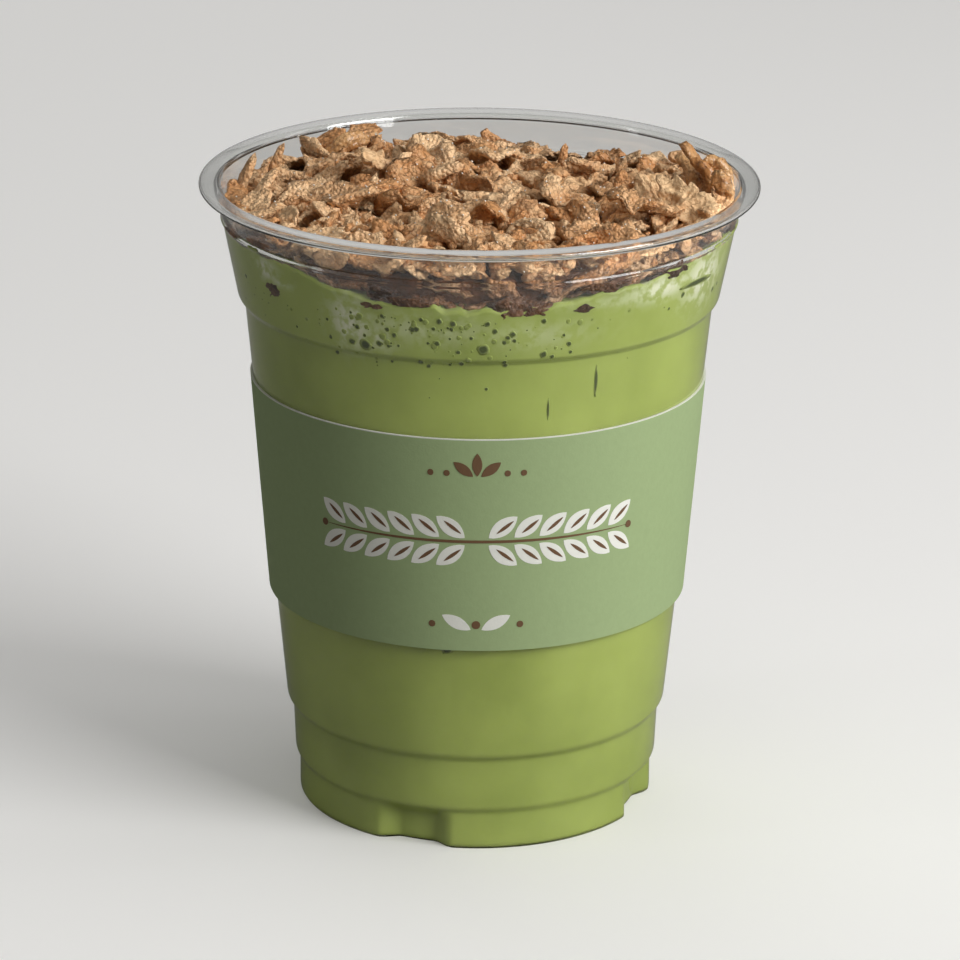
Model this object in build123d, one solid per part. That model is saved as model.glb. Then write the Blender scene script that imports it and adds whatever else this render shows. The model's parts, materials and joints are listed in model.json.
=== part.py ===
from build123d import *
from math import cos, degrees, exp, pi, radians, sin
from random import Random
import os

os.makedirs("parts", exist_ok=True)

# An iced drink in a clear moulded tumbler with a paper sleeve and a heap of cereal on top.
# Millimetres, +Z up. The origin is the middle of the ring that the tumbler stands on.
# A "rise" is measured up from the base, a "drop" down from the top of the rim.

# Tumbler, overall
cup_height = 114.0
rim_diameter = 98.0
base_diameter = 63.4
wall = 0.5

# Rolled rim and the flare below it
roll_width = 3.6
roll_height = 2.0
flare_drop = 6.9
flare_in = 4.0

# Shoulder under the rim, and the two small ledges above the base
shoulder_drop = 20.6
shoulder_in = 6.7
shoulder_ledge = 1.15
upper_ledge_rise = 18.4
upper_ledge_out = 2.25
upper_ledge = 1.05
lower_ledge_rise = 8.0
lower_ledge_out = 0.8
ledge_height = 1.05
ledge_round = 0.8
base_round = 1.0

# Underside: a standing ring round a raised panel, and the notches pressed into the base band
foot_width = 4.5
panel_rise = 3.0
panel_slope = 1.7
notch_count = 4
notch_first = 250.0
notch_floor = 7.6
notch_mouth = 12.6
notch_depth = 2.4
notch_round = 1.0

# Paper sleeve, placed by how far it hangs below the shoulder
paper = 0.4
sleeve_below_shoulder = 14.6
sleeve_height = 39.3
sleeve_snug = 0.03
sleeve_flare = 0.75
lap_width = 12.0
lap_angle = 90.0

# Drink, up to its level
level_drop = 10.5
fill_gap = 0.1

# Heap of cereal, on the drink and up against the wall
heap_gap = 0.3
heap_spacing = 3.3
heap_crown_above = 0.6
heap_edge_below = 1.6
peak_rise = 2.2
peak_angle = 130.0
peak_distance = 18.0
peak_spread = 15.0
hollow_depth = 6.2
hollow_angle = 62.0
hollow_from_wall = 5.0
hollow_spread = 11.5
heap_unevenness = 1.6
heap_seed = 7

rim_radius = rim_diameter / 2
base_radius = base_diameter / 2
roll_centre = cup_height - roll_height / 2
shoulder_rise = cup_height - shoulder_drop
level_rise = cup_height - level_drop


def skin(inset):
    # The tumbler's profile as (radius, height), from the axis outwards and up, moved into
    # the tumbler by an inset: none for the outside, the wall for the inside.
    foot_inner = base_radius - foot_width
    shoulder_radius = rim_radius - shoulder_in
    upper_ledge_radius = base_radius + upper_ledge_out
    return [
        (0, panel_rise + inset),
        (foot_inner - panel_slope + inset / 2, panel_rise + inset),
        (foot_inner + inset, inset),
        (base_radius - inset, inset),
        (base_radius - inset, lower_ledge_rise - ledge_height),
        (base_radius + lower_ledge_out - inset, lower_ledge_rise),
        (upper_ledge_radius - upper_ledge - inset, upper_ledge_rise - ledge_height),
        (upper_ledge_radius - inset, upper_ledge_rise),
        (shoulder_radius - shoulder_ledge - inset, shoulder_rise - ledge_height),
        (shoulder_radius - inset, shoulder_rise),
        (rim_radius - flare_in - inset, cup_height - flare_drop),
        (rim_radius - roll_width + wall - inset, roll_centre),
    ]


def skin_radius(height, inset):
    # Radius of the tumbler's side at a height, on the same profile.
    side = skin(inset)[4:]
    for (r0, z0), (r1, z1) in zip(side, side[1:]):
        if height <= z1 or (r1, z1) == side[-1]:
            return r0 + (r1 - r0) * (height - z0) / (z1 - z0)


def turned(inset, top):
    # The solid inside a skin, from the base up to a flat top.
    side = [point for point in skin(inset) if point[1] < top - ledge_round]
    outline = side + [(skin_radius(top, inset), top)]
    foot_rounds = [0, 0, base_round]
    ledge_rounds = [ledge_round] * (len(outline) - 2 - len(foot_rounds))
    edge = FilletPolyline([(r, 0, z) for r, z in outline], radius=foot_rounds + ledge_rounds)
    cap = Polyline((outline[-1][0], 0, top), (0, 0, top), (0, 0, outline[0][1]))
    return revolve(make_face(edge + cap), Axis.Z)


def notches(inset):
    # Cutters for the channels pressed into the base band, up to the lower ledge.
    floor = base_radius - notch_depth - inset
    mouth = base_radius + upper_ledge_out
    slant = (notch_mouth - notch_floor) / 2 / notch_depth
    half_floor = notch_floor / 2 + inset
    half_mouth = half_floor + slant * (mouth - floor)
    plan = Polygon(
        (floor, -half_floor), (mouth, -half_mouth), (mouth, half_mouth), (floor, half_floor), align=None
    )
    corners = plan.vertices().sort_by(Axis.X)[:2]
    channel = extrude(fillet(corners, notch_round), lower_ledge_rise - ledge_height + inset)
    spots = [notch_first + i * 360 / notch_count for i in range(notch_count)]
    return [Rot(0, 0, angle) * channel for angle in spots]


def make_cup():
    roll = Plane.XZ * Pos(rim_radius - roll_width / 2, roll_centre) * Ellipse(roll_width / 2, roll_height / 2)
    outside = turned(0, roll_centre) - notches(0) + revolve(roll, Axis.Z)
    return outside - (turned(wall, roll_centre) - notches(wall)) - open_top()


def open_top():
    # Clears the mouth above the middle of the roll, inside the rim.
    mouth = Cylinder(rim_radius - roll_width, roll_height, align=(Align.CENTER, Align.CENTER, Align.MIN))
    return Pos(0, 0, roll_centre) * mouth


def make_drink():
    return turned(wall + fill_gap, level_rise) - notches(wall + fill_gap)


def make_sleeve():
    # A band of paper, snug round the tumbler at its top edge and standing off at its lower
    # edge, glued with one end lapped over the other.
    top = shoulder_rise - sleeve_below_shoulder
    bottom = top - sleeve_height
    inner_top = skin_radius(top, 0) + sleeve_snug
    inner_bottom = skin_radius(bottom, 0) + sleeve_flare

    def band(start, thick, turn):
        cut = Polyline(
            (inner_bottom + start, 0, bottom),
            (inner_bottom + start + thick, 0, bottom),
            (inner_top + start + thick, 0, top),
            (inner_top + start, 0, top),
            (inner_bottom + start, 0, bottom),
        )
        return revolve(make_face(cut), Axis.Z, turn)

    lap_turn = degrees(lap_width / (inner_top + paper))
    lap = band(paper / 2, paper * 1.5, lap_turn)
    return band(0, paper, 360) + Rot(0, 0, lap_angle - lap_turn / 2) * lap


def heap_top(x, y):
    # Height of the heap over a point: a low dome with one peak and one hollow by the wall.
    reach = skin_radius(cup_height - flare_drop, wall)
    across = (x * x + y * y) / reach**2
    height = cup_height + heap_crown_above - (heap_crown_above + heap_edge_below) * across
    swells = (
        (peak_rise, peak_angle, peak_distance, peak_spread),
        (-hollow_depth, hollow_angle, reach - hollow_from_wall, hollow_spread),
    )
    for rise, angle, distance, spread in swells:
        dx = x - distance * cos(radians(angle))
        dy = y - distance * sin(radians(angle))
        height += rise * exp(-(dx * dx + dy * dy) / spread**2)
    return height


def heap_rings():
    # Rings of points over the heap, each with six more than the ring inside it, and last the
    # ring where the wall meets the drink.
    chance = Random(heap_seed)
    reach = skin_radius(cup_height - flare_drop, wall)
    ring_count = round(reach / heap_spacing)
    rings = [[Vector(0, 0, heap_top(0, 0))]]
    for ring in range(1, ring_count + 1):
        row = []
        for i in range(6 * ring):
            radius = reach * ring / ring_count
            angle = 2 * pi * i / (6 * ring)
            top = heap_top(radius * cos(angle), radius * sin(angle))
            top += chance.uniform(-heap_unevenness, heap_unevenness)
            if ring == ring_count:
                top = max(top, level_rise + heap_gap)
                radius = skin_radius(min(top, roll_centre), wall) - heap_gap
            row.append(Vector(radius * cos(angle), radius * sin(angle), top))
        rings.append(row)
    foot = skin_radius(level_rise, wall) - heap_gap
    turns = [2 * pi * i / len(rings[-1]) for i in range(len(rings[-1]))]
    rings.append([Vector(foot * cos(turn), foot * sin(turn), level_rise) for turn in turns])
    return rings


def facets(inner, outer):
    # Triangles between two rings, stepping along whichever ring is behind.
    i = 0
    j = 0
    while i + j < len(inner) + len(outer) - (len(inner) == 1):
        a = inner[i % len(inner)]
        b = outer[j % len(outer)]
        if len(inner) == 1 or (j + 1) / len(outer) <= (i + 1) / len(inner):
            j += 1
            yield a, b, outer[j % len(outer)]
        else:
            i += 1
            yield a, b, inner[i % len(inner)]


def make_heap():
    rings = heap_rings()
    faces = [Face(Wire.make_polygon(rings[-1]))]
    for inner, outer in zip(rings, rings[1:]):
        faces += [Face(Wire.make_polygon(corners)) for corners in facets(inner, outer)]
    return Solid(Shell(faces))


nodes = {"cup": make_cup(), "drink": make_drink(), "sleeve": make_sleeve(), "topping": make_heap()}
for name, shape in nodes.items():
    export_step(shape, f"parts/{name}.step")
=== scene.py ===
import json
from math import asin, cos, exp, pi, radians, sin, sqrt, tau
from random import Random

import bmesh
import bpy
import numpy as np
from mathutils import Euler, Matrix, Vector, noise

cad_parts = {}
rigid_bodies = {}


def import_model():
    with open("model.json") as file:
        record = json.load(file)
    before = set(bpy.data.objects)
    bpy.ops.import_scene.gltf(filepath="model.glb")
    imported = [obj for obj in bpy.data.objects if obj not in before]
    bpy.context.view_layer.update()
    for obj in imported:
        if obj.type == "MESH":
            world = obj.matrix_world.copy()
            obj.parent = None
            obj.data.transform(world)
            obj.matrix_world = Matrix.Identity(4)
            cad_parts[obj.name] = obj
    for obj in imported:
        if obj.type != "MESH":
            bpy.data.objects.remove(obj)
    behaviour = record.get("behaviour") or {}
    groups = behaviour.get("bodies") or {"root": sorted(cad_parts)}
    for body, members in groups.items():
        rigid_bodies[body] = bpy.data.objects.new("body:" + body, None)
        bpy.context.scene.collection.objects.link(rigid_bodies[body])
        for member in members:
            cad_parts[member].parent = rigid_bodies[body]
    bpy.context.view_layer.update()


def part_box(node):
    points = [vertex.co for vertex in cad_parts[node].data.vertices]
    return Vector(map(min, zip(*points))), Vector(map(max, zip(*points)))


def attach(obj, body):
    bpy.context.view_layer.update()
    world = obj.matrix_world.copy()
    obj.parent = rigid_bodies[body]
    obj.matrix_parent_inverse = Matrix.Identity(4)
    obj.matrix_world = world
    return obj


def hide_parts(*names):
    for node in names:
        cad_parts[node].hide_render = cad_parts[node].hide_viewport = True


# An iced drink in a clear tumbler with a paper sleeve, under a heap of toasted cereal.
# Metres, +Z up, the front towards -Y. Overall sizes come from the frame.

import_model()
cupLow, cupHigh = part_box("cup")
drinkLow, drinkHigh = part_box("drink")
sleeveLow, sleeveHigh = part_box("sleeve")

mm = 0.001
front = -pi / 2  # azimuth that faces the camera

tumbler = {
    "height": cupHigh.z,
    "rimRadius": (cupHigh.x - cupLow.x) / 2,
    "baseRadius": 31.7 * mm,
    "wall": 0.5 * mm,
    "rollWidth": 3.6 * mm,
    "rollHeight": 2.0 * mm,
    "flareDrop": 6.9 * mm,
    "flareIn": 4.0 * mm,
    "shoulderDrop": 20.6 * mm,
    "shoulderIn": 6.7 * mm,
    "shoulderLedge": 1.15 * mm,
    "upperLedgeRise": 18.4 * mm,
    "upperLedgeOut": 2.25 * mm,
    "upperLedge": 1.05 * mm,
    "lowerLedgeRise": 8.0 * mm,
    "lowerLedgeOut": 0.8 * mm,
    "ledgeHeight": 1.05 * mm,
    "ledgeRound": 0.8 * mm,
    "footWidth": 4.5 * mm,
    "panelRise": 3.0 * mm,
    "panelSlope": 1.7 * mm,
    "notchCount": 4,
    "notchFirst": radians(250),
    "notchFloor": 6.4 * mm,
    "notchMouth": 14.4 * mm,
    "notchFade": 3.4 * mm,
    "notchDepth": 2.4 * mm,
    "crease": 0.28 * mm,  # a fine bead at the foot of the flare
    "creaseWidth": 0.4 * mm,
    "segments": 200,
}
rollCentre = tumbler["height"] - tumbler["rollHeight"] / 2


# ---------- small helpers


def smooth(value):
    value = min(max(value, 0), 1)
    return value * value * (3 - 2 * value)


def bell(distance, width):
    return exp(-((distance / width) ** 2))


def turnBetween(a, b):
    return (a - b + pi) % tau - pi


def meshOf(name, vertices, faces):
    mesh = bpy.data.meshes.new(name)
    mesh.from_pydata([tuple(v) for v in vertices], [], faces)
    work = bmesh.new()
    work.from_mesh(mesh)
    bmesh.ops.recalc_face_normals(work, faces=work.faces)
    work.to_mesh(mesh)
    work.free()
    mesh.shade_smooth()
    return mesh


def stitch(rows):
    # Faces between rows of equal length that each close on themselves.
    faces = []
    for low, high in zip(rows, rows[1:]):
        for j in range(len(low)):
            n = (j + 1) % len(low)
            faces.append(list(dict.fromkeys([low[j], low[n], high[n], high[j]])))
    return faces


def revolved(name, outline, segments, shape):
    # An outline of (radius, height) from the axis back to the axis, turned round Z.
    vertices, rows = [], []
    for k, (radius, height) in enumerate(outline):
        if radius < 1e-7:
            rows.append([len(vertices)] * segments)
            vertices.append((0, 0, height))
            continue
        rows.append(range(len(vertices), len(vertices) + segments))
        for j in range(segments):
            angle = tau * j / segments
            r, z = shape(k, radius, height, angle)
            vertices.append((r * cos(angle), r * sin(angle), z))
    return meshOf(name, vertices, stitch(rows))


def setAttribute(mesh, name, values):
    layer = mesh.attributes.new(name, "FLOAT", "POINT")
    layer.data.foreach_set("value", np.array(values, np.float32))


def asPiece(mesh, node=None):
    piece = bpy.data.objects.new(mesh.name, mesh)
    bpy.context.scene.collection.objects.link(piece)
    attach(piece, "root")
    if node:
        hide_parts(node)
    return piece


def joined(name, parts):
    # One mesh from several (vertices, faces, values) lists, with the values as an attribute.
    vertices, faces, values = [], [], []
    for points, corners, shades in parts:
        start = len(vertices)
        vertices += points
        faces += [[start + i for i in face] for face in corners]
        values += shades
    mesh = meshOf(name, vertices, faces)
    setAttribute(mesh, "tone", values)
    return mesh


# ---------- node helpers


def pin(sockets, name, kind=None):
    for one in sockets:
        if one.name == name and (kind is None or one.type == kind):
            return one
    raise KeyError(f"{name} {kind} not in {[s.name for s in sockets]}")


def feed(tree, socket, value):
    if isinstance(value, bpy.types.NodeSocket):
        tree.links.new(value, socket)
    else:
        socket.default_value = value


def mathNode(tree, operation, a, b=0.0):
    node = tree.nodes.new("ShaderNodeMath")
    node.operation = operation
    feed(tree, node.inputs[0], a)
    feed(tree, node.inputs[1], b)
    return node.outputs[0]


def ranged(tree, value, low, high, toLow=0.0, toHigh=1.0):
    node = tree.nodes.new("ShaderNodeMapRange")
    for name, part in zip(("Value", "From Min", "From Max", "To Min", "To Max"), (value, low, high, toLow, toHigh)):
        feed(tree, node.inputs[name], part)
    return node.outputs["Result"]


def mixColor(tree, factor, a, b, blend="MIX"):
    node = tree.nodes.new("ShaderNodeMix")
    node.data_type = "RGBA"
    node.blend_type = blend
    feed(tree, pin(node.inputs, "Factor", "VALUE"), factor)
    feed(tree, pin(node.inputs, "A", "RGBA"), a)
    feed(tree, pin(node.inputs, "B", "RGBA"), b)
    return pin(node.outputs, "Result", "RGBA")


def noiseNode(tree, vector, scale, detail=2.0):
    node = tree.nodes.new("ShaderNodeTexNoise")
    feed(tree, node.inputs["Vector"], vector)
    node.inputs["Scale"].default_value = scale
    node.inputs["Detail"].default_value = detail
    return node.outputs["Fac"]


def voronoiNode(tree, vector, scale, output="Distance"):
    node = tree.nodes.new("ShaderNodeTexVoronoi")
    feed(tree, node.inputs["Vector"], vector)
    node.inputs["Scale"].default_value = scale
    return node.outputs[output]


def newGroup(name, kind, inputs, outputs):
    tree = bpy.data.node_groups.new(name, kind)
    for label, socketType in inputs:
        tree.interface.new_socket(name=label, in_out="INPUT", socket_type=socketType)
    for label, socketType in outputs:
        tree.interface.new_socket(name=label, in_out="OUTPUT", socket_type=socketType)
    return tree, tree.nodes.new("NodeGroupInput").outputs, tree.nodes.new("NodeGroupOutput").inputs


def newMaterial(name, color, roughness, ior=1.45):
    material = bpy.data.materials.new(name)
    material.use_nodes = True
    tree = material.node_tree
    shader = tree.nodes["Principled BSDF"]
    shader.inputs["Base Color"].default_value = (*color, 1)
    shader.inputs["Roughness"].default_value = roughness
    shader.inputs["IOR"].default_value = ior
    return material, tree, shader


def objectCoordinates(tree):
    return tree.nodes.new("ShaderNodeTexCoord").outputs["Object"]


def attributeNode(tree, name):
    node = tree.nodes.new("ShaderNodeAttribute")
    node.attribute_name = name
    return node.outputs["Fac"]


def bump(tree, shader, height, distance, strength=1.0):
    node = tree.nodes.new("ShaderNodeBump")
    node.inputs["Distance"].default_value = distance
    node.inputs["Strength"].default_value = strength
    tree.links.new(height, node.inputs["Height"])
    tree.links.new(node.outputs["Normal"], shader.inputs["Normal"])


# ---------- materials

colors = {
    "plastic": (0.93, 0.935, 0.925),
    "tea": (0.285, 0.338, 0.082),
    "teaDeep": (0.215, 0.262, 0.055),
    "milk": (0.62, 0.62, 0.50),
    # bubble is painted shade for the inside of a bubble; bubbleRim is the ring round it, near the drink's colour
    "bubble": (0.045, 0.06, 0.016),
    "bubbleRim": (0.29, 0.34, 0.10),
    "paper": (0.335, 0.432, 0.212),
    "paperCut": (0.78, 0.78, 0.72),
    "printWhite": (0.84, 0.84, 0.77),
    "printBrown": (0.16, 0.085, 0.04),
    # pool is the drink between the flakes, painted darker than the drink as the shade it lies in
    "pool": (0.12, 0.155, 0.035),
    # core is a near-black brown: painted shade for the gaps deep in the heap, also the darkest tone of the sunken
    # pieces
    "core": (0.075, 0.028, 0.009),
    "flakePale": (0.93, 0.62, 0.345),
    "flake": (0.63, 0.305, 0.12),
    "flakeDark": (0.17, 0.055, 0.016),
    "clusterPale": (0.86, 0.55, 0.29),
    "cluster": (0.52, 0.245, 0.098),
    "oatPale": (0.82, 0.54, 0.30),
    "oat": (0.60, 0.31, 0.13),
    "honeyPale": (0.74, 0.44, 0.20),
    "honey": (0.48, 0.22, 0.075),
    "wafer": (0.62, 0.34, 0.15),
    "waferPale": (0.86, 0.58, 0.32),
    "sugar": (0.86, 0.80, 0.70),
    "sunken": (0.12, 0.055, 0.024),
    "floor": (0.80, 0.79, 0.77),
    "floorBounce": (0.30, 0.29, 0.27),
}


def makePlastic():
    # Clear moulded plastic. Lamps reach what is behind the wall through the shadow-ray branch.
    material, tree, shader = newMaterial("clearPlastic", colors["plastic"], 0.03, 1.57)
    shader.inputs["Transmission Weight"].default_value = 1
    clear = tree.nodes.new("ShaderNodeBsdfTransparent")
    mix = tree.nodes.new("ShaderNodeMixShader")
    path = tree.nodes.new("ShaderNodeLightPath")
    tree.links.new(path.outputs["Is Shadow Ray"], mix.inputs[0])
    tree.links.new(shader.outputs[0], mix.inputs[1])
    tree.links.new(clear.outputs[0], mix.inputs[2])
    tree.links.new(mix.outputs[0], tree.nodes["Material Output"].inputs["Surface"])
    return material


def makeTea():
    material, tree, shader = newMaterial("greenTea", colors["tea"], 0.45, 1.33)
    where = objectCoordinates(tree)
    cloud = ranged(tree, noiseNode(tree, where, 45, 3), 0.35, 0.7)
    body = mixColor(tree, cloud, (*colors["tea"], 1), (*colors["teaDeep"], 1))
    milky = mathNode(tree, "MULTIPLY", attributeNode(tree, "milk"), ranged(tree, noiseNode(tree, where, 480, 6), 0.42, 0.56, 0.15, 1.0))
    body = mixColor(tree, milky, body, (*colors["milk"], 1))
    tree.links.new(body, shader.inputs["Base Color"])
    bump(tree, shader, noiseNode(tree, where, 260), 0.0001)
    return material


def makeBubble():
    material, tree, shader = newMaterial("bubbleSkin", colors["bubble"], 0.25, 1.33)
    # The tone is 0 to 1 from the middle out, plus 2 on a faint bubble. The dark middle is painted shade in the hollow
    # of each bubble, fading to a ring near the drink's colour.
    tone = attributeNode(tree, "tone")
    faint = mathNode(tree, "GREATER_THAN", tone, 1.5)
    out = mathNode(tree, "SUBTRACT", tone, mathNode(tree, "MULTIPLY", faint, 2.0))
    film = mixColor(tree, ranged(tree, out, 0.5, 0.95), (*colors["bubble"], 1), (*colors["bubbleRim"], 1))
    tree.links.new(mixColor(tree, mathNode(tree, "MULTIPLY", faint, 0.6), film, (*colors["tea"], 1)), shader.inputs["Base Color"])
    return material


def makePaper(name, color, fibre):
    material, tree, shader = newMaterial(name, color, 0.75)
    where = objectCoordinates(tree)
    mottle = ranged(tree, noiseNode(tree, where, 900, 4), 0.3, 0.7)
    darker = tuple(part * (1 - fibre) for part in color)
    tree.links.new(mixColor(tree, mottle, (*color, 1), (*darker, 1)), shader.inputs["Base Color"])
    bump(tree, shader, noiseNode(tree, where, 2600, 4), 0.00003)
    return material


def toastedGroup():
    # Toasted, sugared cereal: colour from pale to dark over blotches, specks and cracks.
    tree, given, gives = newGroup(
        "toasted",
        "ShaderNodeTree",
        [("Vector", "NodeSocketVector"), ("Tone", "NodeSocketFloat"), ("Pale", "NodeSocketColor"), ("Middle", "NodeSocketColor"), ("Dark", "NodeSocketColor")],
        [("Color", "NodeSocketColor"), ("Height", "NodeSocketFloat")],
    )
    where = given["Vector"]
    blotch = noiseNode(tree, where, 330, 3)
    speck = noiseNode(tree, where, 1500, 2)
    grain = voronoiNode(tree, where, 1350)
    crack = noiseNode(tree, where, 520, 5)
    depth = mathNode(tree, "ADD", mathNode(tree, "MULTIPLY", given["Tone"], 0.75), mathNode(tree, "MULTIPLY", blotch, 1.15))
    color = mixColor(tree, ranged(tree, depth, 0.62, 1.25), given["Pale"], given["Middle"])
    # The cracks are grooves in the relief, painted darker as the shade in them.
    crease = ranged(tree, mathNode(tree, "ABSOLUTE", mathNode(tree, "SUBTRACT", crack, 0.5)), 0.028, 0.0)
    color = mixColor(tree, mathNode(tree, "MULTIPLY", crease, 0.3), color, given["Dark"])
    color = mixColor(tree, mathNode(tree, "MULTIPLY", ranged(tree, speck, 0.63, 0.72), 0.45), color, given["Dark"])
    # The middle of each granule is paler: the sugar crust, with a painted glint on its top.
    color = mixColor(tree, mathNode(tree, "MULTIPLY", ranged(tree, grain, 0.3, 0.05), 0.22), color, given["Pale"])
    # Lower down, towards the drink, the colour is multiplied darker: painted shade for the band under the rim behind
    # the wall, and the drink soaking in.
    split = tree.nodes.new("ShaderNodeSeparateXYZ")
    feed(tree, split.inputs[0], where)
    low = mathNode(tree, "ADD", split.outputs[2], mathNode(tree, "MULTIPLY", blotch, 4 * mm))
    color = mixColor(tree, ranged(tree, low, 0.1128, 0.1075), color, (0.33, 0.29, 0.27, 1), "MULTIPLY")
    height = mathNode(tree, "SUBTRACT", mathNode(tree, "MULTIPLY", ranged(tree, grain, 0.75, 0.1), 1.0), mathNode(tree, "MULTIPLY", crease, 0.6))
    height = mathNode(tree, "ADD", height, mathNode(tree, "MULTIPLY", speck, 0.6))
    feed(tree, gives["Color"], color)
    feed(tree, gives["Height"], height)
    return tree


def makeToasted(name, group, pale, middle, dark, roughness, relief, coat=0.0):
    material, tree, shader = newMaterial(name, colors[middle], roughness)
    node = tree.nodes.new("ShaderNodeGroup")
    node.node_tree = group
    feed(tree, node.inputs["Vector"], objectCoordinates(tree))
    feed(tree, node.inputs["Tone"], attributeNode(tree, "tone"))
    for label, key in (("Pale", pale), ("Middle", middle), ("Dark", dark)):
        node.inputs[label].default_value = (*colors[key], 1)
    tree.links.new(node.outputs["Color"], shader.inputs["Base Color"])
    bump(tree, shader, node.outputs["Height"], relief)
    shader.inputs["Coat Weight"].default_value = coat
    return material


def makeCore():
    # The core under the loose pieces, coloured as painted shade where it shows between them, mottled towards flakeDark.
    material, tree, shader = newMaterial("heapCore", colors["core"], 0.7)
    where = objectCoordinates(tree)
    shade = mixColor(tree, ranged(tree, noiseNode(tree, where, 500, 4), 0.35, 0.7), (*colors["core"], 1), (*colors["flakeDark"], 1))
    # Where the drink shows (wet), the colour goes to the pool colour: the drink with painted shade.
    tree.links.new(mixColor(tree, attributeNode(tree, "wet"), shade, (*colors["pool"], 1)), shader.inputs["Base Color"])
    bump(tree, shader, voronoiNode(tree, where, 900), 0.0004)
    return material


plastic = makePlastic()
tea = makeTea()
bubbleSkin = makeBubble()
paper = makePaper("mintPaper", colors["paper"], 0.05)
paperCut = makePaper("paperCut", colors["paperCut"], 0.04)
printWhite = makePaper("printWhite", colors["printWhite"], 0.03)
printBrown = makePaper("printBrown", colors["printBrown"], 0.05)
toasted = toastedGroup()
flakeSkin = makeToasted("toastedFlake", toasted, "flakePale", "flake", "flakeDark", 0.45, 0.00034)
clusterSkin = makeToasted("toastedCluster", toasted, "clusterPale", "cluster", "flakeDark", 0.5, 0.0003)
oatSkin = makeToasted("oatNugget", toasted, "oatPale", "oat", "flakeDark", 0.6, 0.0002)
honeySkin = makeToasted("honeyCurl", toasted, "honeyPale", "honey", "flakeDark", 0.25, 0.0002, 0.6)
waferSkin = makeToasted("paleWafer", toasted, "waferPale", "wafer", "flake", 0.6, 0.0002)
sunkenSkin = makeToasted("sunkenCereal", toasted, "cluster", "sunken", "core", 0.5, 0.0003)
sugarSkin, _, _ = newMaterial("sugar", colors["sugar"], 0.25)
coreShadeSkin = makeCore()
print("materials made")


# ---------- tumbler


def skin(inset):
    # The tumbler's profile as (radius, height), from the axis outwards and up.
    t = tumbler
    footInner = t["baseRadius"] - t["footWidth"]
    shoulderRadius = t["rimRadius"] - t["shoulderIn"]
    shoulderRise = t["height"] - t["shoulderDrop"]
    upperRadius = t["baseRadius"] + t["upperLedgeOut"]
    return [
        (0, t["panelRise"] + inset),
        (footInner - t["panelSlope"] + inset / 2, t["panelRise"] + inset),
        (footInner + inset, inset),
        (t["baseRadius"] - inset, inset),
        (t["baseRadius"] - inset, t["lowerLedgeRise"] - t["ledgeHeight"]),
        (t["baseRadius"] + t["lowerLedgeOut"] - inset, t["lowerLedgeRise"]),
        (upperRadius - t["upperLedge"] - inset, t["upperLedgeRise"] - t["ledgeHeight"]),
        (upperRadius - inset, t["upperLedgeRise"]),
        (shoulderRadius - t["shoulderLedge"] - inset, shoulderRise - t["ledgeHeight"]),
        (shoulderRadius - inset, shoulderRise),
        (t["rimRadius"] - t["flareIn"] - inset, t["height"] - t["flareDrop"]),
        (t["rimRadius"] - t["rollWidth"] + t["wall"] - inset, rollCentre),
    ]


def sideRadius(height, inset):
    side = skin(inset)[3:]
    return float(np.interp(height, [z for _, z in side], [r for r, _ in side]))


def rounded(points, radius):
    # The same outline with each corner as a short curve.
    curve = [Vector(points[0])]
    for before, corner, after in zip(points, points[1:], points[2:]):
        before, corner, after = Vector(before), Vector(corner), Vector(after)
        cut = min(radius, (before - corner).length * 0.45, (after - corner).length * 0.45)
        start = corner + (before - corner).normalized() * cut
        end = corner + (after - corner).normalized() * cut
        for i in range(5):
            t = i / 4
            curve.append(start * (1 - t) ** 2 + corner * 2 * t * (1 - t) + end * t * t)
    return curve + [Vector(points[-1])]


def sampled(points, stepAt):
    # The same outline with long stretches cut into steps.
    line = [points[0]]
    for start, end in zip(points, points[1:]):
        count = max(1, round((end - start).length / stepAt(max(start.y, end.y))))
        line += [start.lerp(end, (i + 1) / count) for i in range(count)]
    return [tuple(point) for point in line]


def notchAt(radius, height, angle):
    # How far the base band is pressed in at a point.
    t = tumbler
    inward = 0
    for i in range(t["notchCount"]):
        arc = abs(turnBetween(angle, t["notchFirst"] + i * tau / t["notchCount"])) * t["baseRadius"]
        inward = max(inward, smooth((t["notchMouth"] / 2 - arc) / (t["notchMouth"] - t["notchFloor"]) * 2))
    top = t["lowerLedgeRise"]
    footInner = t["baseRadius"] - t["footWidth"]
    return t["notchDepth"] * inward * smooth((top - height) / t["notchFade"]) * smooth((radius - footInner) / t["footWidth"])


def rollOutline(inset, start, end):
    # The curled rim in section, an ellipse less an inset, between two angles in degrees.
    t = tumbler
    wide, high = t["rollWidth"] / 2 - inset, t["rollHeight"] / 2 - inset
    middle = t["rimRadius"] - t["rollWidth"] / 2
    turns = [radians(start + (end - start) * i / 24) for i in range(25)]
    return [Vector((middle + wide * cos(turn), rollCentre + high * sin(turn))) for turn in turns]


def makeTumbler():
    t = tumbler
    outside = rounded(skin(0), t["ledgeRound"])
    inside = rounded(skin(t["wall"]), t["ledgeRound"])
    curl = rollOutline(t["wall"], 180, -130)[1:] + rollOutline(0, -130, 180)
    flare = t["height"] - t["flareDrop"]

    def stepAt(height):
        if abs(height - flare) < 6 * t["creaseWidth"]:
            return t["creaseWidth"] / 3
        return 0.8 * mm if height < 9 * mm else 3 * mm

    rise = sampled(outside, stepAt)
    outline = rise + sampled(curl + inside[::-1][1:], stepAt)

    def shape(k, r, z, angle):
        bead = t["crease"] * bell(z - flare, t["creaseWidth"]) if k < len(rise) else 0
        return r + bead - notchAt(r, z, angle), z

    mesh = revolved("tumbler", outline, t["segments"], shape)
    mesh.materials.append(plastic)
    asPiece(mesh, "cup")


makeTumbler()
print("tumbler made")


# ---------- drink

drink = {
    "level": drinkHigh.z,
    "intoWall": 0.15 * mm,
    "contactLow": 102.5 * mm,  # where the drink meets the wall in front
    "contactHigh": 106.9 * mm,  # and at the sides
    "contactBack": 104.0 * mm,
    "contactUneven": 1.5 * mm,
    "segments": 448,
}
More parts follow.
